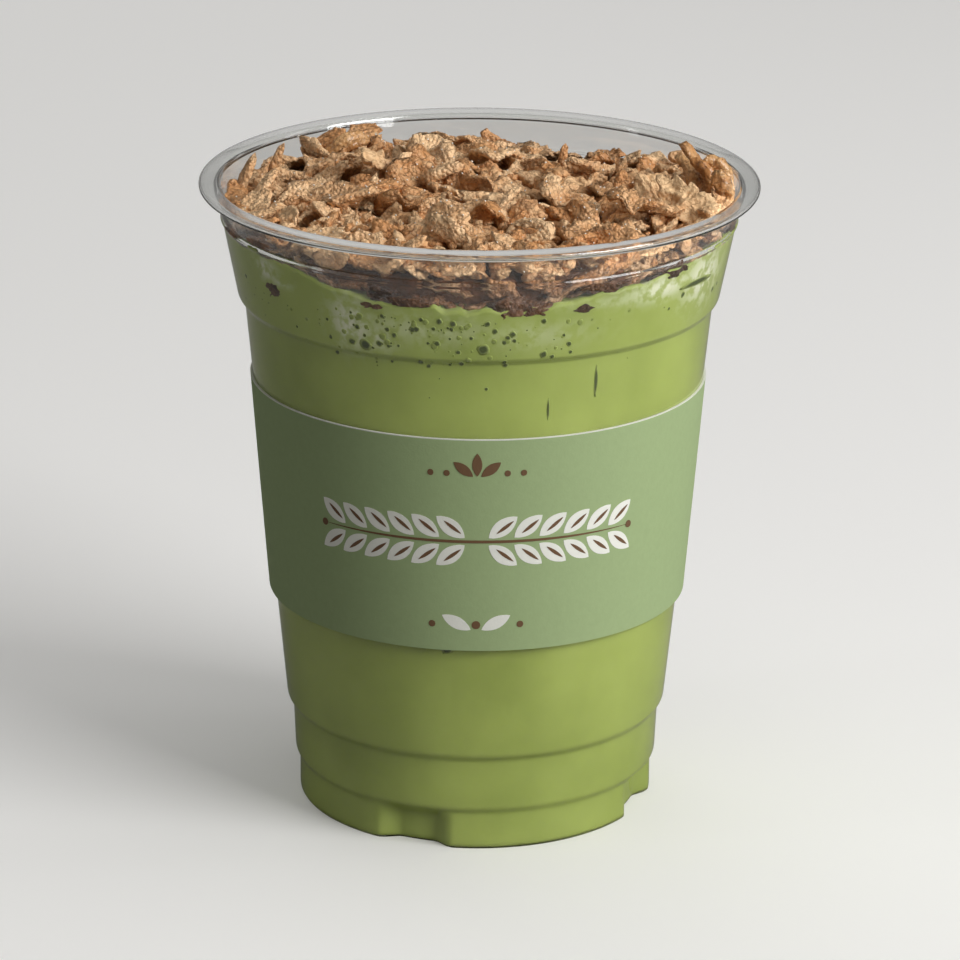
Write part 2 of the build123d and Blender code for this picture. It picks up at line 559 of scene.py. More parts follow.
# Cloudy patches as (degrees from the front, height, half width in degrees, half height, strength).
milkPatches = [
    (61, 102.5 * mm, 8, 4.6 * mm, 1.0),
    (45, 103.2 * mm, 10, 2.0 * mm, 0.9),
    (-30, 98.5 * mm, 5, 4.5 * mm, 0.95),
    (-23, 96.5 * mm, 4, 2.5 * mm, 0.6),
    (-14, 98.8 * mm, 16, 2.6 * mm, 0.35),
    (12, 97.8 * mm, 14, 2.4 * mm, 0.25),
    (-55, 104.2 * mm, 4, 1.8 * mm, 0.85),
    (-50, 102.6 * mm, 4, 0.8 * mm, 0.5),
    (35, 102.6 * mm, 14, 1.0 * mm, 0.35),
    (150, 99 * mm, 15, 4 * mm, 0.5),
]
# Marks where ice leans on the wall, drawn like the bubbles with a dark painted-shade middle, as (degrees from the
# front, height, width, length).
iceMarks = [
    (29.5, 87.9 * mm, 0.75 * mm, 6.4 * mm),
    (17.2, 83.6 * mm, 0.5 * mm, 4.2 * mm),
    (-8, 38.9 * mm, 2.2 * mm, 1.4 * mm),
    (58, 101.9 * mm, 11 * mm, 1.2 * mm),
    (-140, 70 * mm, 0.7 * mm, 5.5 * mm),
]


def contactHeight(angle):
    # Height at which the drink meets the wall.
    d = drink
    off = abs(turnBetween(angle, front))
    sides = d["contactLow"] + (d["contactHigh"] - d["contactLow"]) * smooth(off / radians(62))
    height = sides + (d["contactBack"] - d["contactHigh"]) * smooth((off - radians(75)) / radians(60))
    ring = Vector((cos(angle), sin(angle), 0))
    wave = 0.8 * noise.noise(ring * 4) + 0.7 * noise.noise(ring * 13) + 0.4 * noise.noise(ring * 31)
    return height + d["contactUneven"] * wave


def patchAmount(patches, angle, height):
    amount = 0
    for degreesOff, rise, wide, tall, strength in patches:
        off = turnBetween(angle, front + radians(degreesOff))
        if abs(off) < radians(wide) * 3:
            amount = max(amount, strength * bell(off, radians(wide)) * bell(height - rise, tall))
    return amount


def makeDrink():
    d = drink
    inset = tumbler["wall"] - d["intoWall"]
    reach = sideRadius(d["level"], inset)
    side = [p for p in rounded(skin(inset), tumbler["ledgeRound"]) if p.y < d["level"] - 2 * mm] + [Vector((reach, d["level"]))]
    side = sampled(side, lambda z: 0.8 * mm if z < 9 * mm or z > 80 * mm else 2 * mm)
    top = [(reach * (1 - i / 30), d["level"]) for i in range(1, 30)] + [(0, d["level"])]
    lift = 8 * mm  # the stretch under the level that follows the contact line

    def shape(k, r, z, angle):
        rise = contactHeight(angle) - d["level"]
        if k >= len(side):
            return r, z + rise * (r / reach) ** 10
        z += rise * smooth((z - d["level"] + lift) / lift)
        if z > 20 * mm:
            r = sideRadius(z, inset)
        return r - notchAt(r, z, angle), z

    mesh = revolved("drinkBody", side + top, d["segments"], shape)
    angles = [np.arctan2(v.co.y, v.co.x) for v in mesh.vertices]
    setAttribute(mesh, "milk", [patchAmount(milkPatches, a, v.co.z) for a, v in zip(angles, mesh.vertices)])
    mesh.materials.append(tea)
    asPiece(mesh, "drink")


# Large bubbles against the wall as (degrees from the front, height, width).
largeBubbles = [
    (1.1, 95.5 * mm, 2.1 * mm), (-26.6, 94.8 * mm, 2.3 * mm), (15, 94.2 * mm, 1.4 * mm), (17.1, 93.7 * mm, 0.9 * mm),
    (19.5, 97.5 * mm, 0.7 * mm), (-3.9, 92.6 * mm, 1.2 * mm), (-6.6, 92.3 * mm, 0.7 * mm), (-13.5, 92.6 * mm, 1.2 * mm),
    (6.4, 92.3 * mm, 1.05 * mm), (2, 87.9 * mm, 0.7 * mm),
]
smallBubbles = {"near": 130, "around": 90, "width": (0.3 * mm, 1.3 * mm), "rise": 0.08 * mm, "seed": 4}


def bubble(angle, height, width, faint=0, tall=0):
    # A lens-shaped blister on the drink, pressed into the wall.
    d, rings, turns = drink, 3, 12
    inset = tumbler["wall"] - d["intoWall"]
    points, rows, shades = [], [], []
    for k in range(2 * rings + 1):
        out = 1 - abs(k - rings) / rings
        sign = 1 if k < rings else -1
        rows.append([len(points)] * turns if out == 0 else range(len(points), len(points) + turns))
        for j in range(1 if out == 0 else turns):
            turn = tau * j / turns
            reach = out * (1 + 0.3 * noise.noise(Vector((cos(turn), sin(turn), height / mm + 7 * angle))))
            z = height + (tall or width) / 2 * reach * sin(turn)
            r = sideRadius(z, inset) + smallBubbles["rise"] * sqrt(1 - out**2) * sign + 0.01 * mm
            a = angle + width / 2 * reach * cos(turn) / r
            points.append((r * cos(a), r * sin(a), z))
            shades.append(out + 2 * faint)
    return points, stitch(rows), shades


def makeBubbles():
    chance = Random(smallBubbles["seed"])
    parts = [bubble(front + radians(off), height, width) for off, height, width in largeBubbles]
    parts += [bubble(front + radians(off), height, width, 0, tall) for off, height, width, tall in iceMarks]
    low, high = smallBubbles["width"]
    for i in range(smallBubbles["near"] + smallBubbles["around"]):
        near = i < smallBubbles["near"]
        off = chance.gauss(-12, 17) if near else chance.uniform(-180, 180)
        height = (100.6 - abs(chance.gauss(0, 4.2)) if near else 101 - abs(chance.gauss(0, 5))) * mm
        width = low + (high - low) * chance.random() ** 2.5
        parts.append(bubble(front + radians(off), height, width, int(chance.random() < 0.4)))
    mesh = joined("bubbles", parts)
    mesh.materials.append(bubbleSkin)
    asPiece(mesh)


makeDrink()
makeBubbles()
print("drink made")


# ---------- sleeve

sleeve = {
    "top": sleeveHigh.z,
    "bottom": sleeveLow.z,
    "paper": 0.4 * mm,
    "snug": 0.03 * mm,
    "flare": 0.75 * mm,
    "lapAngle": pi / 2,
    "lapWidth": 12 * mm,
    "lapRamp": radians(4),
    "columns": 360,
    "rows": 16,
    "wave": 0.05 * mm,
    "cutShown": 0.16 * mm,  # raw edge that shows from the side
}
printed = {"lift": 0.035 * mm, "sink": 0.02 * mm}


def sleeveRadius(height):
    # Radius of the paper's inner face.
    s = sleeve
    share = (height - s["bottom"]) / (s["top"] - s["bottom"])
    low = sideRadius(s["bottom"], 0) + s["flare"]
    high = sideRadius(s["top"], 0) + s["snug"]
    return low + (high - low) * share


def makeSleeve():
    s = sleeve
    lapTurn = s["lapWidth"] / sleeveRadius(s["top"])
    start = s["lapAngle"] - lapTurn / 2
    sweep = tau + lapTurn
    vertices, faces, cuts = [], [], []
    ring = 2 * (s["rows"] + 1)
    for i in range(s["columns"] + 1):
        along = sweep * i / s["columns"]
        angle = start + along
        lap = s["paper"] * 1.02 * smooth((along - tau + s["lapRamp"]) / s["lapRamp"])
        for j in range(ring):
            outer = j > s["rows"]
            row = j - s["rows"] - 1 if outer else s["rows"] - j
            z = s["top"]
            if row < s["rows"]:
                z = s["bottom"] + (s["top"] - s["bottom"] - s["cutShown"]) * row / (s["rows"] - 1)
            wave = s["wave"] * noise.noise(Vector((cos(angle) * 3, sin(angle) * 3, z * 40))) * (1 - row / s["rows"])
            r = sleeveRadius(z) + lap + wave + (s["paper"] if outer else 0)
            vertices.append((r * cos(angle), r * sin(angle), z))
    for i in range(s["columns"]):
        for j in range(ring):
            n = (j + 1) % ring
            faces.append([i * ring + j, (i + 1) * ring + j, (i + 1) * ring + n, i * ring + n])
            cuts.append(j <= s["rows"] or j >= ring - 2)
    last = s["columns"] * ring
    for base in (0, last):
        for j in range(s["rows"]):
            faces.append([base + j, base + j + 1, base + ring - 2 - j, base + ring - 1 - j])
            cuts.append(True)
    mesh = meshOf("paperSleeve", vertices, faces)
    mesh.materials.append(paper)
    mesh.materials.append(paperCut)
    mesh.polygons.foreach_set("material_index", [int(cut) for cut in cuts])
    mesh.set_sharp_from_angle(angle=radians(40))
    asPiece(mesh, "sleeve")


def onSleeve(across, up, lift):
    # A point of the print, from distances across the front and up from the base.
    r = sleeveRadius(up) + sleeve["paper"] + lift
    angle = front + across / r
    return (r * cos(angle), r * sin(angle), up)


def petal(across, up, tilt, length, width, round_=False, lengthSteps=12):
    # A printed leaf or dot, a thin slab that follows the paper.
    widthSteps = 4
    points, faces = [], []
    for lift in (printed["lift"], -printed["sink"]):
        for i in range(lengthSteps + 1):
            t = i / lengthSteps
            half = width / 2 * (sqrt(max(0, 1 - (2 * t - 1) ** 2)) if round_ else sin(pi * t) ** 0.8) + 0.01 * mm
            for j in range(widthSteps + 1):
                u, v = (t - 0.5) * length, half * (2 * j / widthSteps - 1)
                points.append(onSleeve(across + u * cos(tilt) - v * sin(tilt), up + u * sin(tilt) + v * cos(tilt), lift))
    side = widthSteps + 1
    layer = (lengthSteps + 1) * side
    for i in range(lengthSteps):
        for j in range(widthSteps):
            a = i * side + j
            faces.append([a, a + 1, a + side + 1, a + side])
            faces.append([layer + a, layer + a + side, layer + a + side + 1, layer + a + 1])
    rim = [i * side for i in range(lengthSteps + 1)] + [lengthSteps * side + j for j in range(1, side)]
    rim += [i * side + side - 1 for i in range(lengthSteps - 1, -1, -1)] + [j for j in range(side - 2, 0, -1)]
    for a, b in zip(rim, rim[1:] + rim[:1]):
        faces.append([a, b, layer + b, layer + a])
    return points, faces, [0] * len(points)


def makePrint():
    # A garland of leaves across the middle, a sprout above it and a small sprig below.
    white, brown = [], []
    brown.append(petal(0, 60 * mm, 0, 57 * mm, 0.5 * mm, lengthSteps=60))
    for side in (-1, 1):
        for i in range(6):
            across = side * (2.2 + 4.4 * i) * mm
            for up in (-1, 1):
                tilt = radians(90 - side * 52) if up > 0 else radians(-90 + side * 52)
                u, v = across + side * 2.3 * mm, 60 * mm + up * 2.6 * mm
                white.append(petal(u, v, tilt, 6.2 * mm, 2.9 * mm))
                brown.append(petal(u + 0.35 * mm, v, tilt, 3.8 * mm, 0.6 * mm))
        brown.append(petal(side * 28.6 * mm, 60 * mm, 0, 1.3 * mm, 1.3 * mm, True))
    for tilt in (38, 90, 142):
        brown.append(petal(3 * mm * cos(radians(tilt)), 72 * mm + 2.2 * mm * sin(radians(tilt)), radians(tilt), 4.2 * mm, 1.7 * mm))
    for side in (-1, 1):
        for step in (5.2, 8.0):
            brown.append(petal(side * step * mm, 72.6 * mm, 0, 1.1 * mm, 1.1 * mm, True))
        white.append(petal(side * 3.4 * mm, 44.8 * mm, radians(90 - side * 62), 5.6 * mm, 2.2 * mm))
        brown.append(petal(side * 7.6 * mm, 44.4 * mm, 0, 1.2 * mm, 1.2 * mm, True))
    brown.append(petal(0, 44.4 * mm, 0, 1.5 * mm, 1.5 * mm, True))
    for name, parts, skinMaterial in (("printPale", white, printWhite), ("printDark", brown, printBrown)):
        mesh = joined(name, parts)
        mesh.set_sharp_from_angle(angle=radians(40))
        mesh.materials.append(skinMaterial)
        asPiece(mesh)
    # The brown strokes lie on the white leaves.
    for vertex in bpy.data.meshes["printDark"].vertices:
        flat = Vector((vertex.co.x, vertex.co.y, 0)).normalized()
        vertex.co += flat * 0.03 * mm


makeSleeve()
makePrint()
print("sleeve made")


# ---------- heap of cereal

heap = {
    "crownAbove": 0.6 * mm,
    "edgeBelow": 1.6 * mm,
    "swells": [  # (rise, azimuth, distance from the axis, spread)
        (2.2 * mm, radians(130), 18 * mm, 15 * mm),
        (-6.2 * mm, radians(62), 39.5 * mm, 11.5 * mm),
        (-2.6 * mm, radians(90), 34 * mm, 22 * mm),
        (-1.8 * mm, radians(180), 38 * mm, 20 * mm),
        (-2.0 * mm, radians(145), 38 * mm, 14 * mm),
        (-0.8 * mm, radians(0), 38 * mm, 16 * mm),
    ],
    "coreDrop": 5.6 * mm,
    "coreRelief": 1.1 * mm,
    "coreGap": 2.6 * mm,
    "coreFoot": 2.5 * mm,  # how far the core reaches under the level
    "wallGap": 0.12 * mm,
    "poolRise": 1.6 * mm,
    "poolBare": 1.0 * mm,  # bare strip round a pool
    "wallSoft": 1.3 * mm,  # the last stretch before the wall, into which pieces are pressed
    "rings": 56,
    "segments": 220,
    # Places where the drink shows between the flakes, as (x, y, radius).
    "wetSpots": [(20.7 * mm, -7 * mm, 4.4 * mm), (13.5 * mm, -26 * mm, 2.6 * mm), (20.7 * mm, -24 * mm, 2.4 * mm)],
}


def heapTop(x, y):
    reach = sideRadius(tumbler["height"] - tumbler["flareDrop"], tumbler["wall"])
    h = heap
    height = tumbler["height"] + h["crownAbove"] - (h["crownAbove"] + h["edgeBelow"]) * (x * x + y * y) / reach**2
    for rise, angle, distance, spread in h["swells"]:
        off = sqrt((x - distance * cos(angle)) ** 2 + (y - distance * sin(angle)) ** 2)
        height += rise * bell(off, spread)
    return height


def wallLine():
    # The inside of the wall above the shoulder, as one straight line: radius at height 0 and slope.
    low, high = tumbler["height"] - tumbler["shoulderDrop"], rollCentre
    start, end = (sideRadius(z, tumbler["wall"]) - heap["wallGap"] for z in (low, high))
    slope = (end - start) / (high - low)
    return start - slope * low, slope


def makeCoreMesh():
    h = heap
    start, slope = wallLine()
    foot = drink["level"] - h["coreFoot"]
    vertices, rows = [], []
    for k in range(h["rings"] + 9):
        share = min(k / h["rings"], 1)
        down = max(0, k - h["rings"]) / 8
        rows.append([len(vertices)] * h["segments"] if k == 0 else range(len(vertices), len(vertices) + h["segments"]))
        for j in range(1 if k == 0 else h["segments"]):
            angle = tau * j / h["segments"]
            wide = start + slope * (tumbler["height"] - 4 * mm) - h["coreGap"]
            x, y = share * wide * cos(angle), share * wide * sin(angle)
            relief = noise.noise(Vector((x, y, 0)) * 260) + 0.5 * noise.noise(Vector((x, y, 9 * mm)) * 640)
            pool = max(bell(Vector((x - px, y - py)).length, width) for px, py, width in h["wetSpots"])
            top = heapTop(x, y) - h["coreDrop"] + h["coreRelief"] * relief * (1 - pool) + h["poolRise"] * pool
            z = top + (foot - top) * down
            limit = start + slope * z - h["coreGap"]
            out = min(limit, share * wide) if down == 0 else limit
            vertices.append((out * cos(angle), out * sin(angle), z))
    rows.append([len(vertices)] * h["segments"])
    vertices.append((0, 0, foot))
    mesh = meshOf("heapCore", vertices, stitch(rows))
    wet = [max(bell(Vector((v.co.x - x, v.co.y - y)).length, r) for x, y, r in h["wetSpots"]) for v in mesh.vertices]
    bare = [max(bell(Vector((v.co.x - x, v.co.y - y)).length, r + h["poolBare"]) for x, y, r in h["wetSpots"]) for v in mesh.vertices]
    setAttribute(mesh, "wet", [smooth(w * 1.6) for w in wet])
    onTop = h["rings"] * h["segments"]  # the sides are covered by the shelves
    setAttribute(mesh, "cover", [(1 - smooth(b * 1.3)) * (i < onTop) for i, b in enumerate(bare)])
    return mesh


def makeShelves():
    # Level rings behind the wall, from the drink's line up, on which flakes lie in layers.
    start, slope = wallLine()
    segments, shelves = 120, 4
    vertices, faces = [], []
    for k in range(shelves):
        inner, outer = [], []
        for j in range(segments):
            angle = tau * j / segments
            low = contactHeight(angle) + 0.3 * mm
            high = heapTop(start * cos(angle), start * sin(angle)) - 2.2 * mm
            z = low + max(high - low, 0.5 * mm) * k / (shelves - 1)
            for row, back in ((inner, 4.2 * mm), (outer, 1.6 * mm)):
                radius = start + slope * z - back
                row.append(len(vertices))
                vertices.append((radius * cos(angle), radius * sin(angle), z))
        faces += stitch([outer, inner])
    mesh = bpy.data.meshes.new("shelves")
    mesh.from_pydata(vertices, [], faces)
    setAttribute(mesh, "cover", [1] * len(vertices))
    return mesh


def sheetShape(chance, length, width, thick, rings=8, turns=28, ragged=0.3, crinkle=1.0, bend=0, ribs=0, square=2.2, lumpy=0.5):
    # A ragged, crinkled sheet, closed round its edge. Sizes in millimetres.
    seed = Vector([chance.uniform(0, 100) for _ in range(3)])
    bowl = chance.uniform(-0.03, 0.035), chance.uniform(-0.03, 0.035)
    points, rows = [], []
    for k in range(2 * rings + 1):
        out = 1 - abs(k - rings) / rings
        sign = 1 if k <= rings else -1
        single = out == 0
        rows.append([len(points)] * turns if single else range(len(points), len(points) + turns))
        for j in range(1 if single else turns):
            turn = tau * j / turns
            ring = Vector((cos(turn), sin(turn), 0))
            reach = (abs(ring.x) ** square + abs(ring.y) ** square) ** (-1 / square)
            reach *= 1 + ragged * (noise.noise(ring * 1.3 + seed) + 0.6 * noise.noise(ring * 4 + seed) + 0.5 * noise.noise(ring * 9 + seed))
            x, y = length / 2 * out * reach * ring.x, width / 2 * out * reach * ring.y
            here = Vector((x, y, 0))
            z = bowl[0] * x * x + bowl[1] * y * y
            ridge = 0.35 - abs(noise.noise(here / 3.6 + seed)) + 0.5 * (0.3 - abs(noise.noise(here / 1.9 + seed)))
            z += crinkle * (0.8 * noise.noise(here / 5 + seed) + 0.9 * ridge)
            grain = 0.5 * lumpy * noise.noise(here * 0.75 + seed * sign) + 0.32 * lumpy * noise.noise(here * 1.7 + seed * sign)
            z += sign * (thick / 2 * sqrt(1 - out**6) + grain * (1 - out**8))
            z += ribs * cos(tau * x / 1.1) * sign * (1 - out**8)
            if bend:
                x, z = (bend + z) * sin(x / bend), (bend + z) * cos(x / bend) - bend
            points.append(Vector((x, y, z)) * mm)
    return points, stitch(rows)


def lumpShape(chance, size, level, lobes=0.0, rough=0.2):
    # A rough lump from a ball. Sizes in millimetres.
    seed = Vector([chance.uniform(0, 100) for _ in range(3)])
    work = bmesh.new()
    bmesh.ops.create_icosphere(work, subdivisions=level, radius=1)
    for vertex in work.verts:
        way = vertex.co.normalized()
        out = 1 + rough * noise.noise(way * 1.3 + seed) + rough * 0.6 * noise.noise(way * 3 + seed) + rough * 0.3 * noise.noise(way * 8 + seed)
        if lobes:
            out += lobes * (0.45 - noise.voronoi(way * 2.3 + seed)[0][0])
        vertex.co = Vector([way[i] * out * size[i] / 2 for i in range(3)]) * mm
    work.verts.ensure_lookup_table()
    points = [v.co.copy() for v in work.verts]
    faces = [[v.index for v in face.verts] for face in work.faces]
    work.free()
    return points, faces


def scatterGroup():
    # Instances of a kind over a surface, turned at random, kept inside the wall.
    tree, given, gives = newGroup(
        "scatter",
        "GeometryNodeTree",
        [
            ("Geometry", "NodeSocketGeometry"), ("Kinds", "NodeSocketCollection"), ("Spacing", "NodeSocketFloat"),
            ("Smallest", "NodeSocketFloat"), ("Largest", "NodeSocketFloat"), ("Tilt", "NodeSocketFloat"),
            ("Lift Low", "NodeSocketFloat"), ("Lift High", "NodeSocketFloat"), ("Wall Start", "NodeSocketFloat"),
            ("Wall Slope", "NodeSocketFloat"), ("Wall Soft", "NodeSocketFloat"), ("Seed", "NodeSocketInt"), ("Material", "NodeSocketMaterial"),
        ],
        [("Geometry", "NodeSocketGeometry")],
    )

    def node(kind, **settings):
        made = tree.nodes.new(kind)
        for name, value in settings.items():
            setattr(made, name, value)
        return made

    def chance(kind, socketKind, low, high, salt):
        made = node("FunctionNodeRandomValue", data_type=kind)
        feed(tree, pin(made.inputs, "Min", socketKind), low)
        feed(tree, pin(made.inputs, "Max", socketKind), high)
        feed(tree, made.inputs["Seed"], mathNode(tree, "ADD", given["Seed"], salt))
        return pin(made.outputs, "Value", socketKind)

    def vector(x, y, z):
        made = node("ShaderNodeCombineXYZ")
        for socket, value in zip(made.inputs, (x, y, z)):
            feed(tree, socket, value)
        return made.outputs[0]

    cover = node("GeometryNodeInputNamedAttribute", data_type="FLOAT")
    cover.inputs["Name"].default_value = "cover"
    points = node("GeometryNodeDistributePointsOnFaces", distribute_method="POISSON")
    feed(tree, points.inputs["Mesh"], given["Geometry"])
    feed(tree, points.inputs["Distance Min"], given["Spacing"])
    points.inputs["Density Max"].default_value = 2e6
    feed(tree, points.inputs["Density Factor"], pin(cover.outputs, "Attribute", "VALUE"))
    feed(tree, points.inputs["Seed"], given["Seed"])

    back = mathNode(tree, "MULTIPLY", given["Tilt"], -1.0)
    turn = node("FunctionNodeEulerToRotation")
    feed(tree, turn.inputs[0], chance("FLOAT_VECTOR", "VECTOR", vector(back, back, -pi), vector(given["Tilt"], given["Tilt"], pi), 1))
    rotate = node("FunctionNodeRotateRotation", rotation_space="LOCAL")
    feed(tree, rotate.inputs[0], points.outputs["Rotation"])
    feed(tree, rotate.inputs[1], turn.outputs[0])

    kinds = node("GeometryNodeCollectionInfo")
    feed(tree, kinds.inputs["Collection"], given["Kinds"])
    kinds.inputs["Separate Children"].default_value = True
    kinds.inputs["Reset Children"].default_value = True
    place = node("GeometryNodeInstanceOnPoints")
    feed(tree, place.inputs["Points"], points.outputs["Points"])
    feed(tree, place.inputs["Instance"], kinds.outputs[0])
    place.inputs["Pick Instance"].default_value = True
    feed(tree, place.inputs["Instance Index"], chance("INT", "INT", 0, 1000, 2))
    feed(tree, place.inputs["Rotation"], rotate.outputs[0])
    feed(tree, place.inputs["Scale"], chance("FLOAT", "VALUE", given["Smallest"], given["Largest"], 3))
    raised = node("GeometryNodeTranslateInstances")
    feed(tree, raised.inputs["Instances"], place.outputs[0])
    feed(tree, raised.inputs["Translation"], vector(0, 0, chance("FLOAT", "VALUE", given["Lift Low"], given["Lift High"], 4)))
    toned = node("GeometryNodeStoreNamedAttribute", data_type="FLOAT", domain="INSTANCE")
    feed(tree, toned.inputs["Geometry"], raised.outputs[0])
    toned.inputs["Name"].default_value = "tone"
    feed(tree, pin(toned.inputs, "Value", "VALUE"), chance("FLOAT", "VALUE", 0.0, 1.0, 5))
    real = node("GeometryNodeRealizeInstances")
    feed(tree, real.inputs[0], toned.outputs[0])

    split = node("ShaderNodeSeparateXYZ")
    feed(tree, split.inputs[0], node("GeometryNodeInputPosition").outputs[0])
    x, y, z = split.outputs
    radius = mathNode(tree, "SQRT", mathNode(tree, "ADD", mathNode(tree, "MULTIPLY", x, x), mathNode(tree, "MULTIPLY", y, y)))
    limit = mathNode(tree, "ADD", given["Wall Start"], mathNode(tree, "MULTIPLY", given["Wall Slope"], z))
    free = mathNode(tree, "SUBTRACT", limit, given["Wall Soft"])
    over = mathNode(tree, "MAXIMUM", mathNode(tree, "SUBTRACT", radius, free), 0.0)
    pressed = mathNode(tree, "EXPONENT", mathNode(tree, "MULTIPLY", mathNode(tree, "DIVIDE", over, given["Wall Soft"]), -1.0))
    pressed = mathNode(tree, "MULTIPLY", mathNode(tree, "SUBTRACT", 1.0, pressed), given["Wall Soft"])
    inside = mathNode(tree, "ADD", mathNode(tree, "MINIMUM", radius, free), pressed)
    share = mathNode(tree, "DIVIDE", inside, mathNode(tree, "MAXIMUM", radius, 1e-6))
    moved = node("GeometryNodeSetPosition")
    feed(tree, moved.inputs["Geometry"], real.outputs[0])
    feed(tree, moved.inputs["Position"], vector(mathNode(tree, "MULTIPLY", x, share), mathNode(tree, "MULTIPLY", y, share), z))
    painted = node("GeometryNodeSetMaterial")
    feed(tree, painted.inputs["Geometry"], moved.outputs[0])
    feed(tree, painted.inputs["Material"], given["Material"])
    feed(tree, gives["Geometry"], painted.outputs[0])
    return tree


scatterTree = scatterGroup()


def scatter(name, source, shapes, material, spacing, sizes, tilt, lift, seed):
    # A plain mesh of one kind of cereal over a source mesh.
    start, slope = wallLine()
    kinds = bpy.data.collections.new(name + "Kinds")
    for i, (points, faces) in enumerate(shapes):
        kinds.objects.link(bpy.data.objects.new(f"{name}Kind{i}", meshOf(f"{name}Kind{i}", points, faces)))
    base = bpy.data.objects.new(name + "Base", source)
    bpy.context.scene.collection.objects.link(base)
    modifier = base.modifiers.new("scatter", "NODES")
    modifier.node_group = scatterTree
    values = {
        "Kinds": kinds, "Spacing": spacing, "Smallest": sizes[0], "Largest": sizes[1], "Tilt": tilt, "Lift Low": lift[0],
        "Lift High": lift[1], "Wall Start": start, "Wall Slope": slope, "Wall Soft": heap["wallSoft"], "Seed": seed, "Material": material,
    }
    for item in scatterTree.interface.items_tree:
        if item.in_out == "INPUT" and item.name in values:
            modifier[item.identifier] = values[item.name]
    graph = bpy.context.evaluated_depsgraph_get()
    mesh = bpy.data.meshes.new_from_object(base.evaluated_get(graph), preserve_all_data_layers=True, depsgraph=graph)
    mesh.name = name
    base.modifiers.clear()
    bpy.data.objects.remove(base)
    for one in list(kinds.objects):
        bpy.data.objects.remove(one)
    bpy.data.collections.remove(kinds)
    mesh.shade_smooth()
    print(name, len(mesh.polygons), "faces", sum(len(p.vertices) - 2 for p in mesh.polygons), "triangles")
    return mesh


def placed(name, pieces, material):
    # Single pieces set one by one: (shape, x, y, height, turns about X, Y and Z in degrees, tone).
    start, slope = wallLine()
    parts = []
    for (points, faces), x, y, z, turns, tone in pieces:
        where = Matrix.Translation((x * mm, y * mm, z * mm)) @ Euler([radians(t) for t in turns]).to_matrix().to_4x4()
        moved = []
        for point in points:
            point = where @ point
            radius = max(Vector((point.x, point.y)).length, 1e-6)
            free = start + slope * point.z - heap["wallSoft"]
            inside = min(radius, free) + heap["wallSoft"] * (1 - exp(-max(0, radius - free) / heap["wallSoft"]))
            moved.append((point.x * inside / radius, point.y * inside / radius, point.z))
        parts.append((moved, faces, [tone] * len(moved)))
    mesh = joined(name, parts)
    mesh.materials.append(material)
    asPiece(mesh)


# Kinds of loose cereal: shapes, spacing over the core, sizes, tilt in radians and lift off the core.
flakes = {
    "broad": {"shapes": 8, "spacing": 5.9 * mm, "sizes": (0.62, 1.12), "tilt": 0.8, "lift": (1.8 * mm, 5.4 * mm), "seed": 11},
    "small": {"shapes": 8, "spacing": 4.7 * mm, "sizes": (0.65, 1.15), "tilt": 1.2, "lift": (2.0 * mm, 5.2 * mm), "seed": 23},
    "wall": {"shapes": 8, "spacing": 3.6 * mm, "sizes": (0.35, 0.72), "tilt": 0.45, "lift": (-0.5 * mm, 0.7 * mm), "seed": 71},
}
clusters = {"shapes": 6, "spacing": 8.6 * mm, "sizes": (0.6, 1.1), "tilt": 1.5, "lift": (2.6 * mm, 4.8 * mm), "seed": 31}
nuggets = {"shapes": 6, "spacing": 5.8 * mm, "sizes": (0.7, 1.4), "tilt": 1.5, "lift": (2.4 * mm, 5.6 * mm), "seed": 47}
crumbs = {"shapes": 4, "spacing": 3.0 * mm, "sizes": (0.5, 1.3), "tilt": 1.5, "lift": (1.0 * mm, 5.0 * mm), "seed": 59}
sugar = {"shapes": 2, "spacing": 2.0 * mm, "sizes": (0.5, 1.1), "tilt": 1.5, "lift": (0.02 * mm, 0.12 * mm), "seed": 61}


def kindOf(settings, name, source, shapes, material):
    return scatter(name, source, shapes, material, settings["spacing"], settings["sizes"], settings["tilt"], settings["lift"], settings["seed"])


